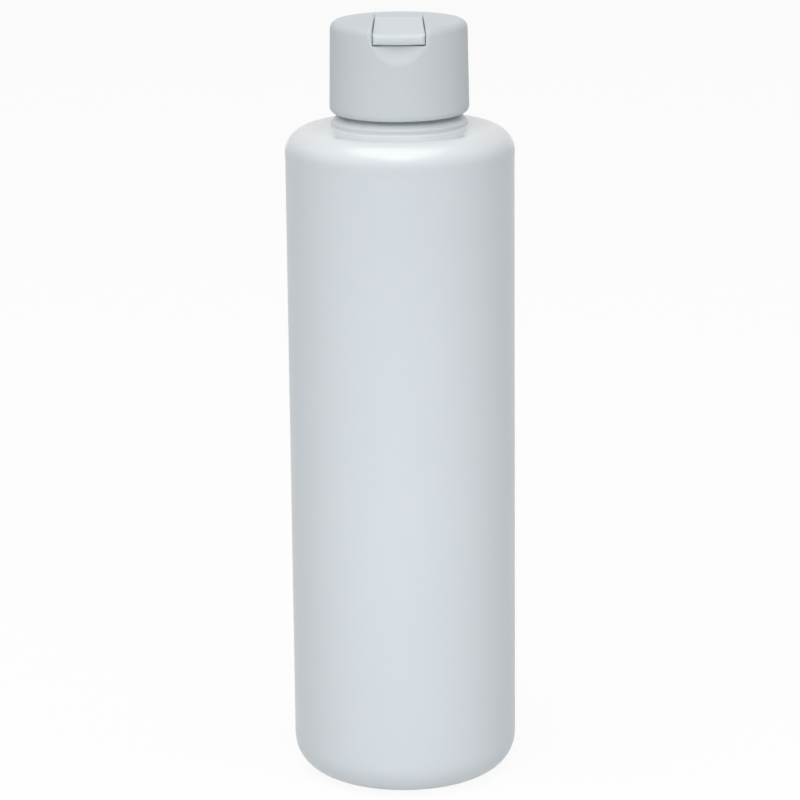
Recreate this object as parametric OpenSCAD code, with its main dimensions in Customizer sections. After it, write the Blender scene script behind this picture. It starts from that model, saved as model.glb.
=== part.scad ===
// Blow-moulded bottle with a screw cap that has a flip-up pouring spout.
// Origin at the middle of the base, +Z up, the spout's lip faces -Y. Millimetres.

/* [Body] */
// Outside diameter of the straight body
body_d = 50; // [46:0.5:56]
// Height at which the shoulder starts to round over
body_h = 140.9; // [110:0.1:180]
// Thickness of the blown wall
wall = 1.1; // [0.8:0.05:1.5]
// Radius of the rounded corner between the wall and the base
base_corner_r = 7.5; // [6:0.25:10]
// Width of the flat ring that the bottle stands on
foot_w = 3; // [1.5:0.25:4]
// Rise of the hollowed base above the table
push_up = 3; // [2:0.25:5]
// Step by which the label panel lies below the shoulder
panel_step = 0.06; // [0.04:0.01:0.2]

/* [Shoulder and collar] */
// Radius of the rounded shoulder
shoulder_r = 5.5; // [4.5:0.1:8]
// Rise of the shoulder towards the neck, in degrees
shoulder_rise = 1.5; // [1:0.25:4]
// How far the low collar at the neck's foot stands out from the neck
collar_w = 2.1; // [1.6:0.05:2.3]
// Height of the collar's wall above the shoulder
collar_h = 1.2; // [1:0.05:1.6]
// Slope of the collar's top up to the neck, in degrees
collar_slope = 45; // [40:1:50]
// Rounding of the collar's top edge
collar_edge = 0.45; // [0.2:0.05:0.6]
// Radius of the fillet between the collar and the shoulder
collar_foot = 0.6; // [0.4:0.1:1]

/* [Neck] */
// Height of the sealing land above the shoulder
neck_h = 14.6; // [14:0.1:17]
// Diameter of the neck between its threads
neck_d = 25.4; // [24:0.1:28]
// Thickness of the neck between its threads
neck_wall = 2.1; // [1.9:0.05:2.4]
// Rounding of the outer edge of the land
land_edge = 0.4; // [0.2:0.05:0.6]
// Rounding inside, where the bore opens into the body
bore_foot = 1.5; // [1:0.1:2.5]

/* [Screw thread] */
// Distance from one turn to the next
thread_pitch = 4.233; // [3.8:0.001:4.6]
// Turns of thread on the neck and in the cap
thread_turns = 1.5; // [1.25:0.05:1.6]
// Height of the neck's thread above its root
neck_thread_h = 1.05; // [0.8:0.05:1.1]
// Height of the cap's thread above its root
cap_thread_h = 0.85; // [0.7:0.05:0.95]
// Width of a thread where it leaves the wall
thread_foot_w = 1.9; // [1.6:0.1:2.2]
// Width of a thread at its crest
thread_crest_w = 0.8; // [0.6:0.1:1]
// Angle over which a thread's ends die away
thread_fade = 40; // [30:10:60]

/* [Cap] */
// Thickness of the skirt at its foot, between the threads
skirt_t = 1.3; // [1.2:0.05:2]
// How much the cap's side leans in from its foot to its top
cap_lean = 0.35; // [0.1:0.05:0.5]
// Rounding of the top edge
cap_top_edge = 1.8; // [1:0.1:2.1]
// Rounding of the skirt's lower edge
cap_foot_edge = 1.6; // [0.8:0.1:1.8]
// Thickness of the top plate over the hollows beside the slot
cap_top_t = 1.4; // [1:0.1:1.8]
// Thickness of the deck under the slot
deck_t = 1.5; // [1.3:0.1:1.8]
// Depth of the sloped edge behind the barrel
slot_lead_h = 0.9; // [0.5:0.1:1.3]
// Length of that sloped edge
slot_lead_l = 2; // [1:0.1:2.5]
// Thickness of the walls beside and behind the slot
slot_wall = 1.6; // [1.4:0.1:1.9]
// Thickness of the ring that plugs the neck's bore
plug_t = 1; // [0.8:0.1:1.2]
// Length of that ring below the deck
plug_h = 2.8; // [2:0.1:3.5]
// Length of the hollow cored out on each side of the slot
side_hollow_l = 8.4; // [6:0.2:9]
// Diameter of the pouring hole under the spout
orifice_d = 2.4; // [1.6:0.1:3]
// Distance of the pivot inside the plug ring's outer face
pivot_in = 4.8; // [4.5:0.1:5.6]

/* [Thumb bowl] */
// Radius of the hollow scooped out under the lip
bowl_r = 15.25; // [14:0.25:17]
// Width of the hollow across the skirt, at the lip's underside
bowl_w = 10.9; // [10.5:0.1:11.3]
// Height of the hollow's middle above the lip's underside
bowl_rise = 6; // [5.6:0.1:6.5]
// Thickness of the wall left between the hollow and the slot
bowl_wall = 0.8; // [0.7:0.05:1.5]

/* [Spout] */
// Width of the tongue at its lip
lip_w = 11.2; // [10.8:0.1:11.6]
// Width of the pivot barrel
barrel_w = 10.5; // [10:0.1:10.8]
// How far the tongue's sides lie inside the barrel's ends
side_step = 0.2; // [0.1:0.05:0.4]
// Rounding of the lip's two corners, seen from above
lip_corner = 1.1; // [0.4:0.1:1.5]
// Radius of the pivot barrel
barrel_r = 3.5; // [3.2:0.05:3.8]
// Distance of the lip's front inside the cap's rim
lip_inset = 0.85; // [0.65:0.05:1.45]
// Thickness of the round bead along the lip
lip_t = 2.5; // [1.8:0.1:2.8]
// Thickness of the tongue's plate behind the bead
plate_t = 1.7; // [1.6:0.05:2]
// Fall of the tongue's top towards the lip, in degrees
tongue_fall = 3.25; // [2:0.25:4]
// Outside radius of the nozzle
nozzle_r = 2; // [1.8:0.05:2.2]
// Bore of the nozzle
nozzle_bore_d = 2.2; // [1.4:0.1:2.4]
// Radius of the pins at the ends of the barrel
trunnion_r = 1.6; // [1.2:0.1:1.9]
// Length that each pin reaches into the slot's wall
trunnion_grip = 0.8; // [0.6:0.05:0.9]

/* [Sealing ring] */
// Thickness of the foam ring
ring_t = 1; // [0.8:0.1:1.3]

/* [Clearances] */
// Gap between the collar's wall and the skirt's lower edge
skirt_gap = 1.75; // [1.6:0.05:2]
// Axial play between the pressed faces of the two threads
thread_play = 0.15; // [0.1:0.05:0.25]
// Gap round the neck's thread inside the skirt
skirt_fit = 0.15; // [0.1:0.05:0.2]
// Gap between the plug ring and the neck's bore
plug_fit = 0.3; // [0.2:0.05:0.4]
// Gap round the sealing ring, inside and out
ring_fit = 0.15; // [0.1:0.05:0.2]
// Gap on each side of the tongue's lip in its slot
slot_fit = 0.12; // [0.1:0.02:0.3]
// Gap between the lip's bead and the ledge that it lies on
lip_gap = 0.15; // [0.1:0.05:0.25]
// Gap under the nozzle and beyond its mouth
tongue_gap = 0.3; // [0.25:0.05:0.4]
// Running clearance of the barrel and its pins
pivot_fit = 0.05; // [0.03:0.01:0.08]
// Depth of the tongue's highest line below the cap's top
tongue_sink = 0.2; // [0.1:0.05:0.3]

/* [Hidden] */
$fn = 96;

// Steps of a thread in one turn, and how far its foot is sunk in the wall.
thread_steps = 36;
thread_root = 0.4;
// What a cut runs past the surface it leaves.
over = 1;

body_r = body_d / 2;
neck_r = neck_d / 2;
bore_r = neck_r - neck_wall;
collar_r = neck_r + collar_w;

// The shoulder's slope leaves its round at this radius and height.
slope_r = body_r - shoulder_r + shoulder_r * sin(shoulder_rise);
slope_z = body_h + shoulder_r * cos(shoulder_rise);
function shoulder_z(r) = slope_z + (slope_r - r) * tan(shoulder_rise);

collar_z = shoulder_z(collar_r) + collar_h;
land_z = shoulder_z(collar_r) + neck_h;
seat_z = land_z + ring_t;
skirt_z = collar_z + skirt_gap;

// The spout lies in a slot above the deck, and its height sets the cap's top.
slot_z = seat_z + deck_t;
pivot_z = slot_z + tongue_gap + nozzle_r;
cap_z = pivot_z + barrel_r + tongue_sink;

// The skirt goes round the neck's thread, and the plug ring goes into its bore.
skirt_bore_r = neck_r + neck_thread_h + skirt_fit;
cap_foot_r = skirt_bore_r + skirt_t;
cap_top_r = cap_foot_r - cap_lean;
cap_draft = atan(cap_lean / (cap_z - skirt_z));
plug_r = bore_r - plug_fit;
ring_in_r = plug_r + ring_fit;
ring_seat_r = skirt_bore_r - thread_root;
ring_out_r = ring_seat_r - ring_fit;
// Headroom that the sealing ring's seat needs below the deck.
ring_seat_h = ring_t + 1;

// The neck's thread starts above the collar, and the cap's lies under it.
neck_thread_z = skirt_z + thread_foot_w;
mesh_w = (thread_foot_w + thread_crest_w) / 2;
thread_drop = mesh_w + thread_play;
cap_thread_z = skirt_z + cap_foot_edge + thread_foot_w / 2;
cap_thread_turn = 360 * (cap_thread_z - neck_thread_z + thread_drop) / thread_pitch;

// The slot goes round the barrel, whose pivot lies inside the plug ring.
slot_w = barrel_w + 2 * slot_fit;
block_w = lip_w + 2 * slot_fit + 2 * slot_wall;
socket_r = barrel_r + pivot_fit;
pivot_back = plug_r - pivot_in;
slot_back = pivot_back + socket_r + tongue_gap / 2;

// Middle of the lip's round bead, seen from the side, from the pivot.
nose_r = lip_t / 2;
lip_front = cap_top_r - lip_inset;
nose_y = nose_r - lip_front - pivot_back;
nose_z = (barrel_r - nose_r + nose_y * sin(tongue_fall)) / cos(tongue_fall);
lip_under_z = pivot_z + nose_z - nose_r;

// The thumb bowl is a ball that meets the skirt at the bowl's width.
bowl_edge_y = sqrt(cap_top_r * cap_top_r - bowl_w * bowl_w / 4);
bowl_y = bowl_edge_y + sqrt(bowl_r * bowl_r - bowl_w * bowl_w / 4 - bowl_rise * bowl_rise);
bowl_z = lip_under_z + bowl_rise;

// The slot ends short of the bowl, and the nozzle ends short of the slot.
slot_front = bowl_y - bowl_r - bowl_wall;
nozzle_front = slot_front - tongue_gap;

// Ahead of the pivot the slot widens with the tongue, up to the lip.
slot_spread = (lip_w / 2 + slot_fit - slot_w / 2) / (lip_front + pivot_back);
function slot_half(y) = slot_w / 2 + (pivot_back - y) * slot_spread;

// Half of the bottle's upright outline, drawn inset by a wall's thickness.
module body_half(inset) {
    panel_r = body_r - panel_step - inset;
    difference() {
        union() {
            translate([0, base_corner_r]) square([panel_r, body_h - base_corner_r]);
            translate([0, inset]) square([body_r - base_corner_r, base_corner_r]);
            intersection() {
                translate([body_r - base_corner_r, base_corner_r]) circle(base_corner_r - inset);
                square([panel_r, body_h]);
            }
            translate([body_r - shoulder_r, body_h]) circle(shoulder_r - inset);
            polygon([
                [0, body_h],
                [body_r - shoulder_r, body_h],
                [slope_r - inset * sin(shoulder_rise), slope_z - inset * cos(shoulder_rise)],
                [0, shoulder_z(0) - inset / cos(shoulder_rise)]
            ]);
        }
        base_hollow_half(inset);
    }
}

// The hollowed base is the cap of a large ball inside the flat foot ring.
module base_hollow_half(inset) {
    hollow_r = body_r - base_corner_r - foot_w;
    ball_r = (hollow_r * hollow_r + push_up * push_up) / (2 * push_up);
    translate([0, push_up - ball_r])
        intersection() {
            circle(ball_r + inset, $fn = 4 * $fn);
            square(2 * ball_r);
        }
}

// The collar with its sloped top and the plain neck, with their outer edges rounded.
module neck_half() {
    edge_mid = [collar_r - collar_edge, collar_z - collar_edge * tan(collar_slope / 2)];
    slope_foot = edge_mid + collar_edge * [sin(collar_slope), cos(collar_slope)];
    slope_top = collar_z + collar_w * tan(collar_slope);
    square([neck_r - land_edge, land_z]);
    square([neck_r, land_z - land_edge]);
    translate([neck_r - land_edge, land_z - land_edge]) circle(land_edge);
    square([collar_r, edge_mid[1]]);
    translate(edge_mid) circle(collar_edge);
    polygon([[0, edge_mid[1]], edge_mid, slope_foot, [neck_r, slope_top], [0, slope_top]]);
    difference() {
        fillet_z = shoulder_z(collar_r + collar_foot);
        translate([0, fillet_z - over]) square([collar_r + collar_foot, over + collar_foot]);
        translate([collar_r + collar_foot, fillet_z + collar_foot]) circle(collar_foot);
    }
}

// One cross-section of a thread at a turn angle, from its foot to its crest.
function thread_ring(turn, z, foot_r, crest_r) = [
    for (corner = [
        [foot_r, -thread_foot_w / 2],
        [crest_r, -thread_crest_w / 2],
        [crest_r, thread_crest_w / 2],
        [foot_r, thread_foot_w / 2]
    ])
    [corner[0] * cos(turn), corner[0] * sin(turn), z + corner[1]]
];

// How much of its height a thread has at one angle from its start.
function thread_rise(angle) =
    max(0, min(1, angle / thread_fade, (360 * thread_turns - angle) / thread_fade));

// A right-hand thread that starts at a turn angle and a height.
module thread(start_turn, start_z, foot_r, crest_r) {
    steps = round(thread_steps * thread_turns);
    rings = [
        for (i = [0:steps])
        let (angle = 360 * thread_turns * i / steps)
        thread_ring(
            start_turn + angle,
            start_z + thread_pitch * angle / 360,
            foot_r,
            foot_r + (crest_r - foot_r) * (0.2 + 0.8 * thread_rise(angle))
        )
    ];
    sides = len(rings[0]);
    outward = crest_r > foot_r;
    skin = [
        for (i = [0:steps - 1], j = [0:sides - 1])
        let (a = i * sides + j, b = i * sides + (j + 1) % sides)
        outward ? [a, b, b + sides, a + sides] : [a + sides, b + sides, b, a]
    ];
    first = [for (j = [0:sides - 1]) j];
    last = [for (j = [0:sides - 1]) steps * sides + j];
    turned = [for (j = [0:sides - 1]) sides - 1 - j];
    first_back = [for (j = turned) first[j]];
    last_back = [for (j = turned) last[j]];
    ends = outward ? [first_back, last] : [first, last_back];
    polyhedron(points = [for (ring = rings) each ring], faces = concat(skin, ends), convexity = 6);
}

// The bore and its rounded mouth into the body, as the upright area it takes away.
module bore_half() {
    mouth_z = shoulder_z(bore_r + bore_foot) - wall / cos(shoulder_rise);
    translate([0, body_h]) square([bore_r, land_z - body_h + over]);
    difference() {
        translate([0, mouth_z - over]) square([bore_r + bore_foot, over + bore_foot]);
        translate([bore_r + bore_foot, mouth_z + bore_foot]) circle(bore_foot);
    }
}

// Body, shoulder, collar and neck are one blown piece of even wall.
module bottle() {
    color([0.87, 0.9, 0.92]) {
        rotate_extrude()
            difference() {
                union() {
                    body_half(0);
                    intersection() {
                        neck_half();
                        translate([0, body_h]) square([body_r, land_z]);
                    }
                }
                body_half(wall);
                bore_half();
            }
        thread(0, neck_thread_z, neck_r - thread_root, neck_r + neck_thread_h);
    }
}

// A washer of foam, squeezed between the land and the cap's deck.
module sealing_ring() {
    color([0.96, 0.96, 0.95])
        translate([0, 0, land_z])
            difference() {
                cylinder(h = ring_t, r = ring_out_r);
                translate([0, 0, -over]) cylinder(h = ring_t + 2 * over, r = ring_in_r);
            }
}

// Half of the cap's upright outline: a drafted side between two rounded edges.
module cap_half() {
    slant = tan(cap_draft);
    top_mid = cap_top_r + cap_top_edge * slant - cap_top_edge / cos(cap_draft);
    foot_mid = cap_foot_r - cap_foot_edge * slant - cap_foot_edge / cos(cap_draft);
    top_z = cap_z - cap_top_edge;
    foot_z = skirt_z + cap_foot_edge;
    lean = [cos(cap_draft), sin(cap_draft)];
    polygon([
        [0, skirt_z],
        [foot_mid, skirt_z],
        [foot_mid, foot_z],
        [foot_mid, foot_z] + cap_foot_edge * lean,
        [top_mid, top_z] + cap_top_edge * lean,
        [top_mid, top_z],
        [top_mid, cap_z],
        [0, cap_z]
    ]);
    translate([top_mid, top_z]) circle(cap_top_edge);
    translate([foot_mid, foot_z]) circle(cap_foot_edge);
}

// The threaded hollow, its narrower head for the sealing ring, and the plug ring.
module cap_hollow() {
    rise = seat_z - skirt_z;
    difference() {
        union() {
            translate([0, 0, skirt_z - over]) cylinder(h = rise + over - ring_seat_h, r = skirt_bore_r);
            translate([0, 0, skirt_z - over]) cylinder(h = rise + over, r = ring_seat_r);
        }
        translate([0, 0, seat_z - plug_h])
            difference() {
                cylinder(h = plug_h + over, r = plug_r);
                translate([0, 0, -over]) cylinder(h = plug_h + 3 * over, r = plug_r - plug_t);
            }
        pivot_block();
    }
}

// The round block under the pivot that hangs into the plug ring.
module pivot_block() {
    intersection() {
        translate([-block_w / 2, pivot_back, pivot_z])
            rotate([0, 90, 0]) cylinder(h = block_w, r = socket_r + slot_wall);
        translate([0, 0, skirt_z]) cylinder(h = cap_z - skirt_z, r = plug_r - plug_t / 2);
    }
}

// The two hollows beside the slot that keep the moulding's walls even.
module side_hollows() {
    intersection() {
        translate([0, 0, seat_z - over])
            cylinder(h = cap_z - cap_top_t - seat_z + over, r = plug_r - plug_t);
        for (side = [-1, 1])
            translate([side * (block_w / 2 + cap_top_r / 2), 0, seat_z])
                cube([cap_top_r, side_hollow_l, 2 * (cap_z - seat_z)], center = true);
    }
}

// Plan of the slot ahead of the pivot, from a given place at its front.
module slot_plan(front_y) {
    polygon([
        [-slot_half(front_y), front_y],
        [slot_half(front_y), front_y],
        [slot_w / 2, pivot_back],
        [-slot_w / 2, pivot_back]
    ]);
}

// The slot is deep under the nozzle, shallow under the lip and round at the pivot.
module slot() {
    ledge_z = lip_under_z - lip_gap;
    translate([0, 0, slot_z]) linear_extrude(cap_z - slot_z + over) slot_plan(-slot_front);
    translate([0, 0, ledge_z]) linear_extrude(cap_z - ledge_z + over) slot_plan(-cap_foot_r);
    translate([-slot_w / 2, pivot_back - over, pivot_z])
        cube([slot_w, over + slot_back - pivot_back, cap_z - pivot_z + over]);
    translate([-slot_w / 2, pivot_back, pivot_z])
        rotate([0, 90, 0]) cylinder(h = slot_w, r = socket_r);
    translate([-slot_w / 2, slot_back, cap_z])
        rotate([90, 0, 90])
            linear_extrude(slot_w)
                polygon([
                    [-over, -slot_lead_h],
                    [0, -slot_lead_h],
                    [slot_lead_l, 0],
                    [slot_lead_l, over],
                    [-over, over]
                ]);
}

// Round holes for the barrel's pins, blind in the slot's walls.
module pin_holes() {
    span = slot_w + 2 * (trunnion_grip + tongue_gap / 2);
    translate([-span / 2, pivot_back, pivot_z])
        rotate([0, 90, 0]) cylinder(h = span, r = trunnion_r + pivot_fit);
}

// Skirt, top, deck, plug and thread are one moulding.
module cap() {
    color([0.84, 0.87, 0.89]) {
        difference() {
            rotate_extrude() cap_half();
            cap_hollow();
            side_hollows();
            slot();
            pin_holes();
            translate([0, pivot_back, seat_z - plug_h]) cylinder(h = cap_z - seat_z, d = orifice_d);
            translate([0, -bowl_y, bowl_z]) sphere(bowl_r);
        }
        intersection() {
            thread(cap_thread_turn, cap_thread_z, skirt_bore_r + thread_root, skirt_bore_r - cap_thread_h);
            translate([0, 0, skirt_z]) cylinder(h = seat_z - skirt_z, r = skirt_bore_r + thread_root / 2);
        }
    }
}

// Side view of the tongue: a plate that leaves the barrel and ends in a round bead.
module tongue_side() {
    up = [-sin(tongue_fall), cos(tongue_fall)];
    polygon([
        barrel_r * up,
        [nose_y, nose_z] + nose_r * up,
        [nose_y, nose_z] + (nose_r - plate_t) * up,
        (barrel_r - plate_t) * up
    ]);
    translate([nose_y, nose_z]) circle(nose_r);
}

// Plan of the tongue: narrower at the barrel than at the lip, with round corners.
module tongue_plan() {
    length = lip_front + pivot_back;
    root_x = barrel_w / 2 - side_step;
    taper = atan((lip_w / 2 - root_x) / length);
    corner_x = lip_w / 2 - lip_corner * tan(taper) - lip_corner / cos(taper);
    corner_y = lip_corner - length;
    side_x = corner_x + lip_corner * cos(taper);
    side_y = corner_y + lip_corner * sin(taper);
    polygon([
        [-root_x, 0],
        [-side_x, side_y],
        [-corner_x, corner_y],
        [-corner_x, -length],
        [corner_x, -length],
        [corner_x, corner_y],
        [side_x, side_y],
        [root_x, 0]
    ]);
    for (side = [-1, 1]) translate([side * corner_x, corner_y]) circle(lip_corner);
}

// Tongue, nozzle, barrel and pins are one moulding, bored from end to end.
module spout() {
    pin_span = slot_w + 2 * trunnion_grip;
    nozzle_l = nozzle_front + pivot_back;
    color([0.87, 0.9, 0.92])
        translate([0, pivot_back, pivot_z])
            difference() {
                union() {
                    intersection() {
                        rotate([90, 0, 90])
                            translate([0, 0, -lip_w]) linear_extrude(2 * lip_w) tongue_side();
                        translate([0, 0, -barrel_r]) linear_extrude(3 * barrel_r) tongue_plan();
                    }
                    rotate([90, 0, 0]) cylinder(h = nozzle_l, r = nozzle_r);
                    translate([-barrel_w / 2, 0, 0])
                        rotate([0, 90, 0]) cylinder(h = barrel_w, r = barrel_r);
                    translate([-pin_span / 2, 0, 0])
                        rotate([0, 90, 0]) cylinder(h = pin_span, r = trunnion_r);
                }
                translate([0, barrel_r + over, 0])
                    rotate([90, 0, 0])
                        cylinder(h = nozzle_l + barrel_r + 2 * over, d = nozzle_bore_d);
            }
}

bottle();
sealing_ring();
cap();
spout();
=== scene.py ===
import math

import bpy
import numpy as np
from mathutils import Matrix, Vector


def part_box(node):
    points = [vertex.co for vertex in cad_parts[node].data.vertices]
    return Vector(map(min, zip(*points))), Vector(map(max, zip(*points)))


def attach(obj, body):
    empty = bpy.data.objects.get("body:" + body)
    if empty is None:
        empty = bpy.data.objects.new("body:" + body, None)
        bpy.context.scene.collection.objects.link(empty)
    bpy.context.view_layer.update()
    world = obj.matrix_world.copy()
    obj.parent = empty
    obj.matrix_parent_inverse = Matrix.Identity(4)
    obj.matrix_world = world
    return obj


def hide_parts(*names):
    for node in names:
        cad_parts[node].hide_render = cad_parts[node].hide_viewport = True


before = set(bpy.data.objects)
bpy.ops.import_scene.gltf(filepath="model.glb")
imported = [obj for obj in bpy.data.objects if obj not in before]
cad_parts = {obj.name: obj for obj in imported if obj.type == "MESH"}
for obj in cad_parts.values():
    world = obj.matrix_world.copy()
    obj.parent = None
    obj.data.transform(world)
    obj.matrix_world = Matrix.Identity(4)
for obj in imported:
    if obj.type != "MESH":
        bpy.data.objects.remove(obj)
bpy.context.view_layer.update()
mm = 0.001

# Bottle: one piece of blown polyethylene with an even wall. The two halves of the mould
# leave a faint line up each side and a pinched seam under the base, and the thread is
# formed on the neck as the bottle is blown.
bottle_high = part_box("bottle")[1]
body_r = bottle_high.x / mm
land_z = bottle_high.z / mm
wall = 1.1
panel_step = 0.06
panel_r = body_r - panel_step
base_corner_r = 7.5
foot_w = 3.0
push_up = 3.0
neck_h = 14.6
neck_r = 12.7
neck_wall = 2.1
bottle_steps = 240
bore_r = neck_r - neck_wall
collar_w = 2.1
collar_r = neck_r + collar_w
collar_h = 1.2
shoulder_r = 5.5
shoulder_rise = math.tan(math.radians(1.5))
skirt_gap = 1.75
collar_foot_z = land_z - neck_h
collar_z = collar_foot_z + collar_h
neck_foot_z = collar_z + collar_w
panel_top_z = collar_foot_z - 7.4
step_top_z = collar_foot_z - 5.8
skirt_z = collar_z + skirt_gap
thread_pitch = 4.233
thread_turns = 1.5
neck_thread_h = 1.05
neck_thread_rise = 1.9
neck_thread_z = skirt_z + neck_thread_rise
thread_foot_w = 1.9
thread_crest_w = 0.8
thread_fade = 40 / 360


def ease(low, high, value):
    """0 below low, 1 above high, and a smooth rise between them."""
    t = np.clip((value - low) / (high - low), 0, 1)
    return t * t * (3 - 2 * t)


def shoulder_z(r):
    """Height of the shoulder's gentle slope at a radius."""
    return collar_foot_z + (collar_r - r) * shoulder_rise


def softened(corners):
    """An outline through (radius, height, rounding) corners, each rounded by an arc."""
    arc_angle, arc_length = 0.11, 0.5
    points = [corners[0][:2]]
    for before, corner, after in zip(corners, corners[1:], corners[2:]):
        here = np.array(corner[:2])
        back = np.array(before[:2]) - here
        ahead = np.array(after[:2]) - here
        back, ahead = back / np.hypot(*back), ahead / np.hypot(*ahead)
        half = math.acos(max(-1.0, min(1.0, back @ ahead))) / 2
        straight = half > 1.57
        if corner[2] == 0 or straight:
            points.append(tuple(here))
            continue
        middle = (back + ahead) / np.hypot(*(back + ahead))
        centre = here + middle * corner[2] / math.sin(half)
        start = here + back * corner[2] / math.tan(half) - centre
        end = here + ahead * corner[2] / math.tan(half) - centre
        sweep = math.atan2(start[0] * end[1] - start[1] * end[0], start @ end)
        steps = max(4, int(abs(sweep) / arc_angle), int(abs(sweep) * corner[2] / arc_length))
        for i in range(steps + 1):
            a = sweep * i / steps
            turn = np.array([[math.cos(a), -math.sin(a)], [math.sin(a), math.cos(a)]])
            points.append(tuple(centre + turn @ start))
    points.append(corners[-1][:2])
    return points


def filled(points, longest):
    """The same outline with no step longer than longest(height)."""
    out = [points[0]]
    for a, b in zip(points, points[1:]):
        length = math.hypot(b[0] - a[0], b[1] - a[1])
        if length < 1e-4:
            continue
        steps = max(1, math.ceil(length / longest((a[1] + b[1]) / 2)))
        for i in range(1, steps + 1):
            out.append((a[0] + (b[0] - a[0]) * i / steps, a[1] + (b[1] - a[1]) * i / steps))
    return np.array(out)


def piece(name, points, faces, material, normals=None):
    """A smooth mesh object from points in millimetres."""
    mesh = bpy.data.meshes.new(name)
    mesh.from_pydata((np.asarray(points) * mm).tolist(), [], faces)
    mesh.shade_smooth()
    if normals is not None:
        mesh.normals_split_custom_set_from_vertices(normals.tolist())
    mesh.materials.append(material)
    made = bpy.data.objects.new(name, mesh)
    bpy.context.scene.collection.objects.link(made)
    return made


def turned(outline, angles, shift):
    """Points and faces of an outline turned about the axis, each point moved out by shift."""
    step = np.gradient(outline, axis=0)
    out = np.stack([step[:, 1], -step[:, 0]], 1)
    out /= np.maximum(np.hypot(out[:, 0], out[:, 1]), 1e-9)[:, None]
    r = outline[:, :1] + out[:, :1] * shift
    z = outline[:, 1:] + out[:, 1:] * shift
    count = len(angles)
    grid = np.stack([r * np.cos(angles), r * np.sin(angles), z], 2)
    closed = outline[0, 0] < 1e-6
    points = grid[1:-1].reshape(-1, 3) if closed else grid.reshape(-1, 3)
    rows = len(outline) - 2 if closed else len(outline)
    faces = []
    for i in range(rows - 1):
        for j in range(count):
            k = (j + 1) % count
            faces.append((i * count + j, i * count + k, (i + 1) * count + k, (i + 1) * count + j))
    if closed:
        ends = np.array([grid[0].mean(0), grid[-1].mean(0)])
        first = len(points)
        points = np.vstack([points, ends])
        last_row = (rows - 1) * count
        for j in range(count):
            k = (j + 1) % count
            faces.append((first, k, j))
            faces.append((first + 1, last_row + j, last_row + k))
    return points, faces


def new_group(name, inputs, outputs):
    """An empty shader node group with float or colour sockets, and its two end nodes."""
    group = bpy.data.node_groups.new(name, "ShaderNodeTree")
    for title, kind, value in inputs:
        socket = group.interface.new_socket(title, in_out="INPUT", socket_type=kind)
        socket.default_value = value
    for title, kind in outputs:
        group.interface.new_socket(title, in_out="OUTPUT", socket_type=kind)
    return group, group.nodes.new("NodeGroupInput"), group.nodes.new("NodeGroupOutput")


# The skin that a mould gives to plastic: cloudy colour, uneven sheen and a fine grain.
skin_group, skin_in, skin_out = new_group(
    "moulded skin",
    [
        ("Colour", "NodeSocketColor", (0.8, 0.8, 0.8, 1)),
        ("Cloud size", "NodeSocketFloat", 20.0),
        ("Cloud depth", "NodeSocketFloat", 0.02),
        ("Grain size", "NodeSocketFloat", 0.3),
        ("Sheen low", "NodeSocketFloat", 0.3),
        ("Sheen high", "NodeSocketFloat", 0.4),
        ("Ripple size", "NodeSocketFloat", 9.0),
        ("Ripple share", "NodeSocketFloat", 0.5),
    ],
    [
        ("Colour", "NodeSocketColor"),
        ("Roughness", "NodeSocketFloat"),
        ("Relief", "NodeSocketFloat"),
    ],
)


def wired(tree, kind, settings, links):
    """A node with its fields or sockets set, and its inputs linked to other sockets."""
    node = tree.nodes.new(kind)
    for key, value in settings.items():
        if isinstance(key, str) and hasattr(node, key):
            setattr(node, key, value)
        else:
            node.inputs[key].default_value = value
    for key, source in links.items():
        tree.links.new(source, node.inputs[key])
    return node


def noise_of_size(tree, where, size, detail):
    """Noise whose blots are about size millimetres wide."""
    scale = wired(tree, "ShaderNodeMath", {"operation": "DIVIDE", 0: 1 / mm}, {1: size})
    return wired(
        tree, "ShaderNodeTexNoise", {"Detail": detail}, {"Vector": where, "Scale": scale.outputs[0]}
    ).outputs["Fac"]


place = skin_group.nodes.new("ShaderNodeTexCoord").outputs["Object"]
clouds = noise_of_size(skin_group, place, skin_in.outputs["Cloud size"], 3.0)
grain = noise_of_size(skin_group, place, skin_in.outputs["Grain size"], 2.0)
ripple = noise_of_size(skin_group, place, skin_in.outputs["Ripple size"], 1.0)
centred = wired(skin_group, "ShaderNodeMath", {"operation": "SUBTRACT", 1: 0.5}, {0: clouds})
shade = wired(
    skin_group,
    "ShaderNodeMath",
    {"operation": "MULTIPLY_ADD", 2: 1.0},
    {0: centred.outputs[0], 1: skin_in.outputs["Cloud depth"]},
)
tinted = wired(
    skin_group,
    "ShaderNodeVectorMath",
    {"operation": "SCALE"},
    {0: skin_in.outputs["Colour"], "Scale": shade.outputs[0]},
)
sheen = wired(
    skin_group,
    "ShaderNodeMapRange",
    {"From Min": 0.3, "From Max": 0.7},
    {
        "Value": clouds,
        "To Min": skin_in.outputs["Sheen low"],
        "To Max": skin_in.outputs["Sheen high"],
    },
)
relief = wired(
    skin_group,
    "ShaderNodeMix",
    {},
    {"Factor": skin_in.outputs["Ripple share"], "A": grain, "B": ripple},
)
skin_group.links.new(tinted.outputs[0], skin_out.inputs["Colour"])
skin_group.links.new(sheen.outputs[0], skin_out.inputs["Roughness"])
skin_group.links.new(relief.outputs["Result"], skin_out.inputs["Relief"])


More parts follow.
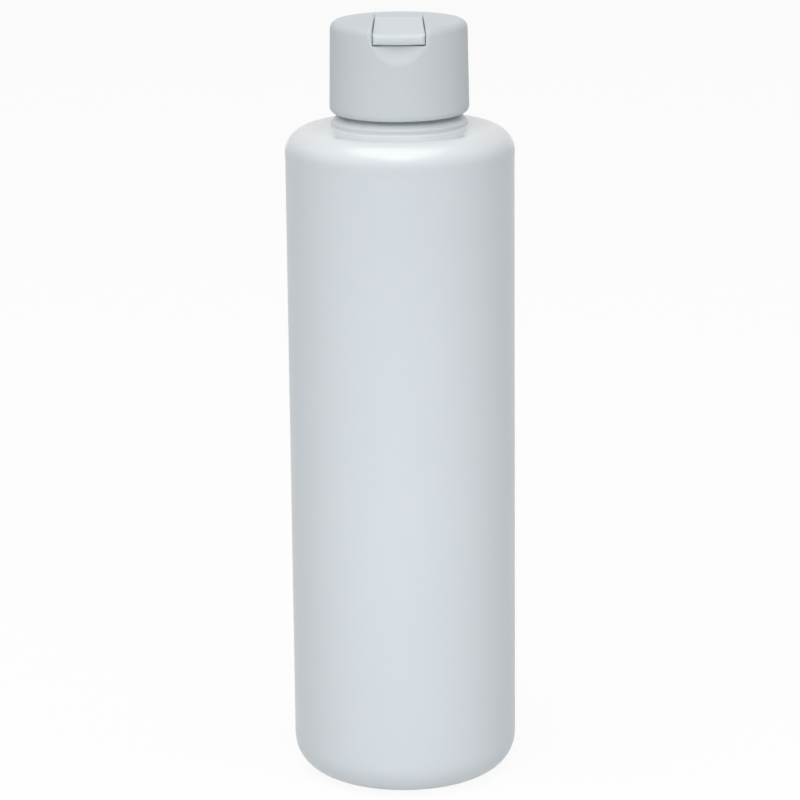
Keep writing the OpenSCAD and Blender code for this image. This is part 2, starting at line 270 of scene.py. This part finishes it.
def plastic(name, colour, skin, relief_depth, fixed):
    """A plastic with the moulded skin, and its constant values on the shader itself."""
    material = bpy.data.materials.new(name)
    material.use_nodes = True
    tree = material.node_tree
    shader = tree.nodes["Principled BSDF"]
    group = tree.nodes.new("ShaderNodeGroup")
    group.node_tree = skin_group
    group.inputs["Colour"].default_value = (*colour, 1)
    for title, value in skin.items():
        group.inputs[title].default_value = value
    for title, value in fixed.items():
        shader.inputs[title].default_value = value
    bump = wired(
        tree, "ShaderNodeBump", {"Strength": 1.0, "Distance": relief_depth * mm},
        {"Height": group.outputs["Relief"]},
    )
    tree.links.new(group.outputs["Colour"], shader.inputs["Base Color"])
    tree.links.new(group.outputs["Roughness"], shader.inputs["Roughness"])
    tree.links.new(bump.outputs["Normal"], shader.inputs["Normal"])
    return material


wall_shade = (0.64, 0.683, 0.716)
# The shoulder's colour is a painted highlight: the wall's plastic painted lighter where light falls on
# the shoulder and neck.
shoulder_painted_highlight = (0.755, 0.79, 0.81)
blown_polyethylene = plastic(
    "blown polyethylene",
    wall_shade,
    {
        "Cloud size": 30.0,
        "Cloud depth": 0.03,
        "Grain size": 0.35,
        "Sheen low": 0.3,
        "Sheen high": 0.36,
        "Ripple size": 14.0,
        "Ripple share": 0.9,
    },
    0.008,
    {
        "IOR": 1.5,
        "Specular IOR Level": 0.35,
        "Coat Roughness": 0.12,
        "Subsurface Weight": 0.2,
        "Subsurface Radius": (1.0, 1.1, 1.2),
        "Subsurface Scale": 1.5 * mm,
    },
)

# From the shoulder up the colour is painted lighter, a painted highlight for the light that falls on
# the shoulder, and the mould is polished there, up to the collar's foot.
whiter_from = collar_foot_z - 5.4
whiter_to = collar_foot_z - 2.0
body_gloss, shoulder_gloss = 0.05, 0.9
collar_gloss_share = 0.15
collar_blend = 0.4
body_tree = blown_polyethylene.node_tree
body_skin = body_tree.nodes["Group"]
body_place = body_tree.nodes.new("ShaderNodeTexCoord").outputs["Object"]
body_height = wired(body_tree, "ShaderNodeSeparateXYZ", {}, {0: body_place}).outputs["Z"]
on_shoulder = wired(
    body_tree,
    "ShaderNodeMapRange",
    {
        "interpolation_type": "SMOOTHSTEP",
        "From Min": whiter_from * mm,
        "From Max": whiter_to * mm,
    },
    {"Value": body_height},
)
# Painted highlight: the wall's colour turns lighter from the shoulder up.
wall_colour = wired(
    body_tree,
    "ShaderNodeMix",
    {"data_type": "RGBA", 6: (*wall_shade, 1), 7: (*shoulder_painted_highlight, 1)},
    {0: on_shoulder.outputs["Result"]},
)
body_tree.links.new(wall_colour.outputs[2], body_skin.inputs["Colour"])
gloss = wired(
    body_tree,
    "ShaderNodeMapRange",
    {"To Min": body_gloss, "To Max": shoulder_gloss},
    {"Value": on_shoulder.outputs["Result"]},
)
below_collar = wired(
    body_tree,
    "ShaderNodeMapRange",
    {
        "From Min": collar_foot_z * mm,
        "From Max": (collar_foot_z + collar_blend) * mm,
        "To Min": 1.0,
        "To Max": collar_gloss_share,
    },
    {"Value": body_height},
)
polish = wired(
    body_tree, "ShaderNodeMath", {"operation": "MULTIPLY"},
    {0: gloss.outputs["Result"], 1: below_collar.outputs["Result"]},
)
body_tree.links.new(polish.outputs[0], body_tree.nodes["Principled BSDF"].inputs["Coat Weight"])

# The outline of the wall: its outside from the base's middle to the land, then its inside
# back down. A corner is its radius, its height and its rounding.
hollow_rows = 16
hollow_r = body_r - base_corner_r - foot_w
ball_r = (hollow_r**2 + push_up**2) / (2 * push_up)


def hollow_z(r, inset):
    """Height of the hollowed base at a radius."""
    return push_up - ball_r + math.sqrt((ball_r + inset) ** 2 - r**2)


outside = [(r, hollow_z(r, 0), 0) for r in np.linspace(0, hollow_r, hollow_rows)[:-1]]
outside += [
    (hollow_r, 0, 1.5),
    (panel_r, 0, base_corner_r),
    (panel_r, panel_top_z, 1.0),
    (body_r, step_top_z, 1.0),
    (body_r, shoulder_z(body_r), shoulder_r),
    (collar_r, collar_foot_z, 0.6),
    (collar_r, collar_z, 0.45),
    (neck_r, neck_foot_z, 0.3),
    (neck_r, land_z, 0.4),
]
inner_r = panel_r - wall
inside_corner_r = base_corner_r - wall
inside = [
    (bore_r, land_z, 0.25),
    (bore_r, shoulder_z(bore_r) - wall, 1.5),
    (body_r - wall, shoulder_z(body_r) - wall, shoulder_r - wall),
    (body_r - wall, step_top_z, 0),
    (inner_r, panel_top_z, 0),
    (inner_r, wall, inside_corner_r),
    (hollow_r, wall, 1.0),
]
inside += [(r, hollow_z(r, wall), 0) for r in np.linspace(hollow_r, 0, hollow_rows)[1:]]


def bottle_row_step(z):
    """Rows lie close together on the thread and the collar, and wide on the plain body."""
    if z > collar_z:
        return 0.16
    return 0.4 if z > collar_foot_z - 8 else 3.0


outline = filled(softened(outside + inside), bottle_row_step)
angles = np.linspace(0, 2 * np.pi, bottle_steps, endpoint=False)
beside_seam = np.array([-0.3, -0.14, 0.14, 0.3]) / body_r
seam_columns = [side + off for side in (0, np.pi) for off in beside_seam]
angles = np.sort(np.concatenate([angles, np.mod(seam_columns, 2 * np.pi)]))

row_r, row_z = outline[:, :1], outline[:, 1:]
outer_rows = np.arange(len(outline))[:, None] < np.argmax(outline[:, 1])
turn = angles[None, :] / (2 * np.pi)
thread = np.zeros((len(outline), len(angles)))
for lap in (0, 1):
    along = turn + lap
    off_middle = np.abs(row_z - neck_thread_z - thread_pitch * along)
    ridge = 1 - ease(thread_crest_w / 2, thread_foot_w / 2, off_middle)
    ends = np.minimum(ease(0, thread_fade, along), ease(0, thread_fade, thread_turns - along))
    thread = np.maximum(thread, ridge * ends)
on_neck = outer_rows & (row_z > neck_foot_z + 0.1) & (row_r > neck_r - 0.01)
shift = np.where(on_neck, thread * neck_thread_h, 0)

# The mould's line up both sides, and the pinched seam across the hollowed base.
seam_h, seam_crest, seam_foot, seam_from_z = 0.05, 0.08, 0.3, 3
pinch_h, pinch_crest, pinch_foot, pinch_to_z = 0.5, 0.3, 0.9, 4
across = np.abs(row_r * np.sin(angles))
on_side = outer_rows & (row_z > seam_from_z) & (row_z < collar_z)
seam = seam_h * (1 - ease(seam_crest, seam_foot, across)) * on_side
pinch_end = 1 - ease(hollow_r - 5, hollow_r - 2, row_r)
pinch = pinch_h * (1 - ease(pinch_crest, pinch_foot, across)) * pinch_end
pinch = np.where(outer_rows & (row_z < pinch_to_z), pinch, 0)
shift = shift + seam + pinch

points, faces = turned(outline, angles, shift)
bottle = piece("blown_bottle", points, faces, blown_polyethylene)
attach(bottle, "bottle")
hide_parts("bottle")

# Sealing ring: a washer punched from closed-cell foam. The cap's deck presses it on the
# neck's land, and its corners are soft from that squeeze.
ring_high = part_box("sealing_ring")[1]
ring_w = 2.9
ring_edge = 0.2
ring_steps = 160
ring_row_step = 0.3
ring_out_r = ring_high.x / mm
ring_in_r = ring_out_r - ring_w
ring_top = ring_high.z / mm
ring_mid = (ring_in_r + ring_out_r) / 2
ring_outline = filled(
    softened(
        [
            (ring_mid, land_z, 0),
            (ring_out_r, land_z, ring_edge),
            (ring_out_r, ring_top, ring_edge),
            (ring_in_r, ring_top, ring_edge),
            (ring_in_r, land_z, ring_edge),
            (ring_mid, land_z, 0),
        ]
    ),
    lambda z: ring_row_step,
)[:-1]
ring_angles = np.linspace(0, 2 * np.pi, ring_steps, endpoint=False)
ring_points, ring_faces = turned(ring_outline, ring_angles, np.zeros((len(ring_outline), ring_steps)))
last = (len(ring_outline) - 1) * ring_steps
for j in range(ring_steps):
    k = (j + 1) % ring_steps
    ring_faces.append((last + j, last + k, k, j))
ring_foam = plastic(
    "closed-cell foam",
    (0.86, 0.86, 0.84),
    {
        "Cloud size": 4.0,
        "Cloud depth": 0.06,
        "Grain size": 0.25,
        "Sheen low": 0.8,
        "Sheen high": 0.95,
        "Ripple size": 1.2,
        "Ripple share": 0.3,
    },
    0.12,
    {"IOR": 1.45},
)
ring = piece("foam_ring", ring_points, ring_faces, ring_foam)
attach(ring, "seal")
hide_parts("sealing_ring")

# Cap: one moulding of polypropylene with a matte skin. Its drafted skirt carries the
# inside thread, and its top holds the deck, the plug ring, the spout's slot and seat,
# and the hollow for the thumb.
cap_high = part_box("cap")[1]
cap_z = cap_high.z / mm
seat_z = ring_top
thread_gap = 0.15
skirt_wall = 1.3
skirt_lean = 0.35
skirt_bore_r = neck_r + neck_thread_h + thread_gap
cap_foot_r = skirt_bore_r + skirt_wall
cap_top_r = cap_foot_r - skirt_lean
cap_draft = math.atan2(cap_foot_r - cap_top_r, cap_z - skirt_z)
cap_thread_h = 0.85
cap_thread_rise = 1.6
thread_root = 0.4
deck_t = 2
top_t = 1.4
core_half = 4.2
plug_r = bore_r - 0.3
plug_t = 1.0
plug_h = 2.8
pivot_back = plug_r - 4.8
barrel_r = 3.5
pivot_z = cap_z - barrel_r - 0.2
socket_r = barrel_r + 0.05
slot_wall = 1.6
lip_half = 5.6
barrel_half = 5.25
slot_fit = 0.12
slot_half = barrel_half + slot_fit
block_half = lip_half + slot_fit + slot_wall
slot_z = seat_z + 1.5
slot_back = pivot_back + socket_r + 0.15
lead_w, lead_h = 2, 0.9
tongue_fall = math.radians(3.25)
nose_r = 1.25
lip_front = cap_top_r - 0.85
nose_y = nose_r - lip_front - pivot_back
nose_z = (barrel_r - nose_r + nose_y * math.sin(tongue_fall)) / math.cos(tongue_fall)
slot_spread = (lip_half - barrel_half) / (lip_front + pivot_back)
lip_under_z = pivot_z + nose_z - nose_r
lip_gap = 0.15
ledge_z = lip_under_z - lip_gap
bowl_r = 15.25
bowl_half = 5.45
bowl_rise = 6.0
bowl_y = math.sqrt(cap_top_r**2 - bowl_half**2)
bowl_y += math.sqrt(bowl_r**2 - bowl_half**2 - bowl_rise**2)
bowl_z = lip_under_z + bowl_rise
slot_front = bowl_y - bowl_r - 0.8
trunnion_r = 1.6
pin_hole_l = 0.95
pin_gap = 0.05
pour_r = 1.2


def meet(a, b, edge):
    """What two forms share, with their common edge rounded."""
    inner = np.minimum(np.maximum(a, b), -edge)
    return inner + np.hypot(np.maximum(a + edge, 0), np.maximum(b + edge, 0))


def cut(a, b, edge):
    """The first form less the second, with the cut's edge rounded."""
    return meet(a, -b, edge)


def join(a, b, fillet):
    """Both forms together, with a fillet where they run into each other."""
    return -meet(-a, -b, fillet)


def overlap(*forms):
    """What all the forms share, with sharp edges."""
    return np.maximum.reduce(np.broadcast_arrays(*forms))


def together(*forms):
    """All the forms as one, with sharp edges."""
    return np.minimum.reduce(np.broadcast_arrays(*forms))


def cap_thread(x, y, z, rho):
    """The screw thread inside the skirt, with ends that die away."""
    start_z = skirt_z + cap_thread_rise + thread_foot_w / 2
    start = (start_z - neck_thread_z + (thread_foot_w + thread_crest_w) / 2 + thread_gap) / thread_pitch
    lap = np.mod(np.arctan2(y, x) / (2 * np.pi) - start, 1)
    lap = lap + np.clip(np.round((z - start_z) / thread_pitch - lap), 0, 1)
    off_middle = np.abs(z - start_z - thread_pitch * lap)
    ends = np.minimum(ease(-0.03, thread_fade, lap), ease(-0.03, thread_fade, thread_turns - lap))
    crest = cap_thread_h * ends
    out = skirt_bore_r - rho
    half_w = thread_foot_w / 2 - out * (thread_foot_w - thread_crest_w) / 2 / cap_thread_h
    flank_slope = 0.84
    ridge = meet(out - crest, (off_middle - half_w) * flank_slope, 0.2)
    return np.maximum(ridge, rho - skirt_bore_r - thread_root)


def cap_form(x, y, z):
    """Signed distance to the cap, below zero in the plastic."""
    rho = np.hypot(x, y)
    side = (rho - cap_foot_r + (z - skirt_z) * math.tan(cap_draft)) * math.cos(cap_draft)
    shell = meet(meet(side, z - cap_z, 1.8), skirt_z - z, 1.6)
    plug = meet(meet(rho - plug_r, plug_r - plug_t - rho, 0.4), seat_z - plug_h - z, 0.4)
    pivot_round = np.hypot(y - pivot_back, z - pivot_z)
    block = overlap(
        pivot_round - socket_r - slot_wall, np.abs(x) - block_half, rho - plug_r + plug_t / 2
    )
    hollow = join(
        np.maximum(rho - skirt_bore_r, z - seat_z + deck_t),
        np.maximum(rho - skirt_bore_r + thread_root, z - seat_z),
        0.1,
    )
    hollow = cut(cut(hollow, plug, 0.3), block, 0.2)
    cores = meet(
        meet(rho - plug_r + plug_t, block_half - np.abs(x), 0.3),
        meet(z - cap_z + top_t, np.abs(y) - core_half, 0.3),
        0.3,
    )
    cores = np.maximum(cores, seat_z - 1 - z)
    in_slot = np.abs(x) - slot_half - np.maximum(pivot_back - y, 0) * slot_spread
    deep = overlap(in_slot, y - pivot_back, -slot_front - y, slot_z - z)
    ledge = overlap(in_slot, y - pivot_back, ledge_z - z)
    behind = overlap(in_slot, pivot_back - 1 - y, y - slot_back, pivot_z - z)
    seat = np.maximum(in_slot, pivot_round - socket_r)
    lead = ((y - slot_back) * lead_h - (z - cap_z + lead_h) * lead_w) / math.hypot(lead_h, lead_w)
    lead = overlap(in_slot, slot_back - 1 - y, lead)
    slot = together(deep, ledge, behind, seat, lead)
    thumb = np.sqrt(x**2 + (y + bowl_y) ** 2 + (z - bowl_z) ** 2) - bowl_r
    pins = np.maximum(np.abs(x) - slot_half - pin_hole_l, pivot_round - trunnion_r - pin_gap)
    pour = np.maximum(np.hypot(x, y - pivot_back) - pour_r, z - pivot_z)
    form = cut(shell, hollow, 0.25)
    form = cut(form, cores, 0.15)
    form = join(form, cap_thread(x, y, z, rho), 0.2)
    form = cut(form, thumb, 0.5)
    form = cut(form, slot, 0.1)
    form = cut(form, pins, 0.1)
    return cut(form, pour, 0.15)


def spaced(low, high, step, fine_step, *fine_zones):
    """Grid lines from low to high, closer together inside the fine zones."""
    lines = [low]
    while lines[-1] < high:
        near = any(a <= lines[-1] < b for a, b in fine_zones)
        lines.append(lines[-1] + (fine_step if near else step))
    return np.array(lines)


def slope_of(form, at):
    """How a form's distance changes along x, y and z, and its value."""
    tiny = 0.004
    x, y, z = at.T
    rise = [
        form(x + tiny, y, z) - form(x - tiny, y, z),
        form(x, y + tiny, z) - form(x, y - tiny, z),
        form(x, y, z + tiny) - form(x, y, z - tiny),
    ]
    return np.stack(rise, 1) / (2 * tiny), form(x, y, z)


def skinned(form, xs, ys, zs):
    """A closed mesh over a form: one point in each grid cell that its surface crosses."""
    settle_rounds, longest_move = 4, 0.15
    value = form(xs[:, None, None], ys[None, :, None], zs[None, None, :])
    inside = value < 0
    shape = tuple(n - 1 for n in value.shape)
    total = np.zeros((*shape, 3))
    hits = np.zeros(shape)
    lines = (xs, ys, zs)
    for axis in range(3):
        ahead = np.moveaxis(value, axis, 0)
        low, high = ahead[:-1], ahead[1:]
        crossed = (low < 0) != (high < 0)
        share = np.where(crossed, low / np.where(crossed, low - high, 1), 0)
        at = []
        for other in range(3):
            grid = lines[other]
            if other == axis:
                step = np.diff(grid)[:, None, None]
                spot = grid[:-1][:, None, None] + share * step
            else:
                order = [axis] + [a for a in range(3) if a != axis]
                size = [1, 1, 1]
                size[order.index(other)] = len(grid)
                spot = np.broadcast_to(grid.reshape(size), share.shape)
            at.append(spot)
        at = np.moveaxis(np.stack(at, -1) * crossed[..., None], 0, axis)
        crossed = np.moveaxis(crossed, 0, axis)
        for i in (0, 1):
            for j in (0, 1):
                pick = [slice(None)] * 3
                for other, start in zip([a for a in range(3) if a != axis], (i, j)):
                    pick[other] = slice(start, shape[other] + start)
                total += at[tuple(pick)]
                hits += crossed[tuple(pick)]
    used = hits > 0
    index = np.full(shape, -1)
    index[used] = np.arange(used.sum())
    points = total[used] / hits[used][:, None]
    faces = []
    for axis in range(3):
        a, b = [(1, 2), (2, 0), (0, 1)][axis]
        first = np.take(inside, range(value.shape[axis] - 1), axis)
        second = np.take(inside, range(1, value.shape[axis]), axis)
        edge = np.argwhere(first != second)
        edge = edge[(edge[:, a] > 0) & (edge[:, b] > 0)]
        edge = edge[(edge[:, a] < shape[a]) & (edge[:, b] < shape[b])]
        corners = []
        for back_a, back_b in ((1, 1), (0, 1), (0, 0), (1, 0)):
            cell = edge.copy()
            cell[:, a] -= back_a
            cell[:, b] -= back_b
            corners.append(index[tuple(cell.T)])
        quad = np.stack(corners, 1)
        flip = ~first[tuple(edge.T)]
        quad[flip] = quad[flip][:, ::-1]
        faces.append(quad)
    for _ in range(settle_rounds):
        slope, off = slope_of(form, points)
        steep = np.maximum((slope**2).sum(1), 0.2)
        move = -slope * (off / steep)[:, None]
        reach = np.linalg.norm(move, axis=1)
        points = points + move * np.minimum(1, longest_move / np.maximum(reach, 1e-9))[:, None]
    slope, off = slope_of(form, points)
    normals = slope / np.maximum(np.linalg.norm(slope, axis=1), 1e-9)[:, None]
    return points, np.concatenate(faces).tolist(), normals


matte_polypropylene = plastic(
    "matte polypropylene",
    (0.6, 0.636, 0.66),
    {
        "Cloud size": 9.0,
        "Cloud depth": 0.03,
        "Grain size": 0.18,
        "Sheen low": 0.5,
        "Sheen high": 0.58,
        "Ripple size": 2.5,
        "Ripple share": 0.25,
    },
    0.01,
    {
        "IOR": 1.49,
        "Specular IOR Level": 0.35,
        "Subsurface Weight": 0.35,
        "Subsurface Radius": (1.0, 1.1, 1.2),
        "Subsurface Scale": 1.5 * mm,
    },
)
slot_sides = ((-5.98, -5.2), (5.15, 5.95))
slot_ends = ((-15.4, -9.4), (7.0, 12.0))
slot_heights = (cap_z - 2.2, cap_z + 1)
cap_points, cap_faces, cap_normals = skinned(
    cap_form,
    spaced(-15.36, 15.36, 0.34, 0.14, *slot_sides),
    spaced(-15.4, 15.4, 0.36, 0.26, *slot_ends),
    spaced(skirt_z - 0.31, cap_z + 0.3, 0.35, 0.18, slot_heights),
)
cap = piece("screw_cap", cap_points, cap_faces, matte_polypropylene, cap_normals)
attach(cap, "cap")
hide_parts("cap")

# Spout: a second, smoother moulding that snaps into the cap on two pins. Its tongue lies
# flush in the slot and ends in a round lip for the thumb. The nozzle under it is bored
# right through the barrel.
plate_t = 1.7
snug = 0.05
root_half = barrel_half - 0.2
nozzle_r = 2.0
nozzle_bore_r = 1.1
pin_l = 0.8
nozzle_l = slot_front - 0.3 + pivot_back
tongue_l = lip_front + pivot_back
taper = math.atan2(lip_half - root_half, tongue_l)


def spout_form(x, y, z):
    """Signed distance to the spout, lying shut in its slot."""
    y, z = y - pivot_back, z - pivot_z
    top = z * math.cos(tongue_fall) - y * math.sin(tongue_fall) - barrel_r
    plate = overlap(top, -top - plate_t, nose_y - y, y + 0 * z)
    bead = np.hypot(y - nose_y, z - nose_z) - nose_r
    half = lip_half + snug - (y + tongue_l) * math.tan(taper)
    plan = meet((np.abs(x) - half) * math.cos(taper), -tongue_l - y, 1.1)
    tongue = meet(together(plate, bead), plan, 0.12)
    about_pins = np.hypot(y, z)
    barrel = meet(about_pins - barrel_r, np.abs(x) - barrel_half, 0.22)
    nozzle = meet(meet(np.hypot(x, z) - nozzle_r, -nozzle_l - y, 0.2), y + 0 * z, 0.1)
    pins = meet(about_pins - trunnion_r, np.abs(x) - slot_half - pin_l, 0.2)
    bore = np.maximum(np.hypot(x, z) - nozzle_bore_r, -nozzle_l - 1 - y)
    form = join(tongue, nozzle, 0.25)
    form = join(np.minimum(form, barrel), pins, 0.08)
    return cut(form, bore, 0.12)


smooth_polypropylene = plastic(
    "smooth polypropylene",
    (0.65, 0.692, 0.715),
    {
        "Cloud size": 7.0,
        "Cloud depth": 0.02,
        "Grain size": 0.2,
        "Sheen low": 0.36,
        "Sheen high": 0.42,
        "Ripple size": 3.0,
        "Ripple share": 0.4,
    },
    0.006,
    {
        "IOR": 1.49,
        "Specular IOR Level": 0.4,
        "Subsurface Weight": 0.35,
        "Subsurface Radius": (1.0, 1.1, 1.2),
        "Subsurface Scale": 1.5 * mm,
    },
)
spout_points, spout_faces, spout_normals = skinned(
    spout_form,
    spaced(-6.8, 6.8, 0.16, 0.16),
    spaced(-lip_front - 0.3, pivot_back + barrel_r + 0.3, 0.17, 0.17),
    spaced(pivot_z - barrel_r - 0.33, pivot_z + barrel_r + 0.3, 0.15, 0.15),
)
spout = piece("flip_spout", spout_points, spout_faces, smooth_polypropylene, spout_normals)
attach(spout, "spout")
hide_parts("spout")

# Studio: a white sweep under the bottle, which shows as plain white and keeps the soft
# shadow, a large soft box above and in front, and even light from all round.


def seen_directly(tree):
    """1 for a ray from the camera, or one that a mirror or clear plastic passes on."""
    path = tree.nodes.new("ShaderNodeLightPath")
    direct = wired(
        tree, "ShaderNodeMath", {"operation": "MAXIMUM"},
        {0: path.outputs["Is Camera Ray"], 1: path.outputs["Is Glossy Ray"]},
    )
    either = wired(
        tree, "ShaderNodeMath", {"operation": "MAXIMUM"},
        {0: direct.outputs[0], 1: path.outputs["Is Transmission Ray"]},
    )
    return either.outputs[0]


floor_half = 6.0
floor_mesh = bpy.data.meshes.new("white_floor")
floor_corners = [(x * floor_half, y * floor_half, 0) for x, y in ((-1, -1), (1, -1), (1, 1), (-1, 1))]
floor_mesh.from_pydata(floor_corners, [], [(0, 1, 2, 3)])
floor = bpy.data.objects.new("white_floor", floor_mesh)
bpy.context.scene.collection.objects.link(floor)
floor_paint = bpy.data.materials.new("white floor")
floor_paint.use_nodes = True
floor_tree = floor_paint.node_tree
floor_shader = floor_tree.nodes["Principled BSDF"]
floor_shader.inputs["Base Color"].default_value = (0.65, 0.65, 0.65, 1)
floor_shader.inputs["Roughness"].default_value = 0.9
floor_shader.inputs["Specular IOR Level"].default_value = 0.0
seen_sweep = floor_tree.nodes.new("ShaderNodeBsdfDiffuse")
seen_sweep.inputs["Color"].default_value = (0.95, 0.95, 0.95, 1)
seen_white = floor_tree.nodes.new("ShaderNodeEmission")
seen_white.inputs["Strength"].default_value = 1.0
seen_floor = floor_tree.nodes.new("ShaderNodeMixShader")
seen_floor.inputs[0].default_value = 0.92
floor_tree.links.new(seen_sweep.outputs[0], seen_floor.inputs[1])
floor_tree.links.new(seen_white.outputs[0], seen_floor.inputs[2])
floor_mix = floor_tree.nodes.new("ShaderNodeMixShader")
floor_tree.links.new(seen_directly(floor_tree), floor_mix.inputs[0])
floor_tree.links.new(floor_shader.outputs[0], floor_mix.inputs[1])
floor_tree.links.new(seen_floor.outputs[0], floor_mix.inputs[2])
floor_tree.links.new(floor_mix.outputs[0], floor_tree.nodes["Material Output"].inputs["Surface"])
floor_mesh.materials.append(floor_paint)

world = bpy.data.worlds.new("studio")
bpy.context.scene.world = world
world.use_nodes = True
air = world.node_tree
even_light = air.nodes["Background"]
even_light.inputs["Color"].default_value = (0.98, 0.99, 1, 1)
even_light.inputs["Strength"].default_value = 0.38
seen_air = air.nodes.new("ShaderNodeBackground")
seen_air.inputs["Strength"].default_value = 1.0
air_mix = air.nodes.new("ShaderNodeMixShader")
air.links.new(seen_directly(air), air_mix.inputs[0])
air.links.new(even_light.outputs[0], air_mix.inputs[1])
air.links.new(seen_air.outputs[0], air_mix.inputs[2])
air.links.new(air_mix.outputs[0], air.nodes["World Output"].inputs["Surface"])


def soft_box(name, azimuth, elevation, distance, width, height, power, shows=True):
    """An area lamp that faces the bottle's middle, and shows in gloss or not."""
    middle = Vector((0, 0, 0.1))
    light = bpy.data.lights.new(name, "AREA")
    light.shape = "RECTANGLE"
    light.size, light.size_y = width, height
    light.energy = power
    lamp = bpy.data.objects.new(name, light)
    a, e = math.radians(azimuth), math.radians(elevation)
    out = Vector((math.sin(a) * math.cos(e), -math.cos(a) * math.cos(e), math.sin(e)))
    lamp.location = middle + out * distance
    lamp.rotation_mode = "QUATERNION"
    lamp.rotation_quaternion = (-out).to_track_quat("-Z", "Y")
    lamp.visible_camera = lamp.visible_glossy = shows
    bpy.context.scene.collection.objects.link(lamp)


soft_box("key_box", -3, 46, 1.3, 0.62, 0.45, 2.1)
soft_box("top_box", -10, 74, 1.3, 1.5, 1.2, 10.8)
soft_box("left_card", -80, 20, 1.1, 0.5, 0.8, 0.55, shows=False)
soft_box("right_card", 80, 20, 1.1, 0.5, 0.8, 0.1, shows=False)
soft_box("low_card", 0, -15, 0.27, 0.3, 0.05, 0.25, shows=False)

# Camera: a little above the bottle, with the long lens of a catalogue photo.
photo_size = 800
lens_px = 3332.6
camera_distance = 0.73987
camera_rise = 0.2489
camera_roll = -0.0095
aim = Vector((0, 0, 0.085))
lens = bpy.data.cameras.new("camera")
lens.sensor_width = 36
lens.lens = lens_px / photo_size * lens.sensor_width
shift_px = (-2.2, -0.4)
lens.shift_x = shift_px[0] / photo_size
lens.shift_y = shift_px[1] / photo_size
lens.clip_end = 50
camera = bpy.data.objects.new("camera", lens)
back = Vector((0, -math.cos(camera_rise), math.sin(camera_rise)))
camera.location = aim + back * camera_distance
camera.rotation_mode = "QUATERNION"
level = (-back).to_track_quat("-Z", "Y").to_matrix()
camera.rotation_quaternion = (Matrix.Rotation(camera_roll, 3, back) @ level).to_quaternion()
bpy.context.scene.collection.objects.link(camera)
bpy.context.scene.camera = camera
bpy.context.scene.view_settings.view_transform = "Standard"
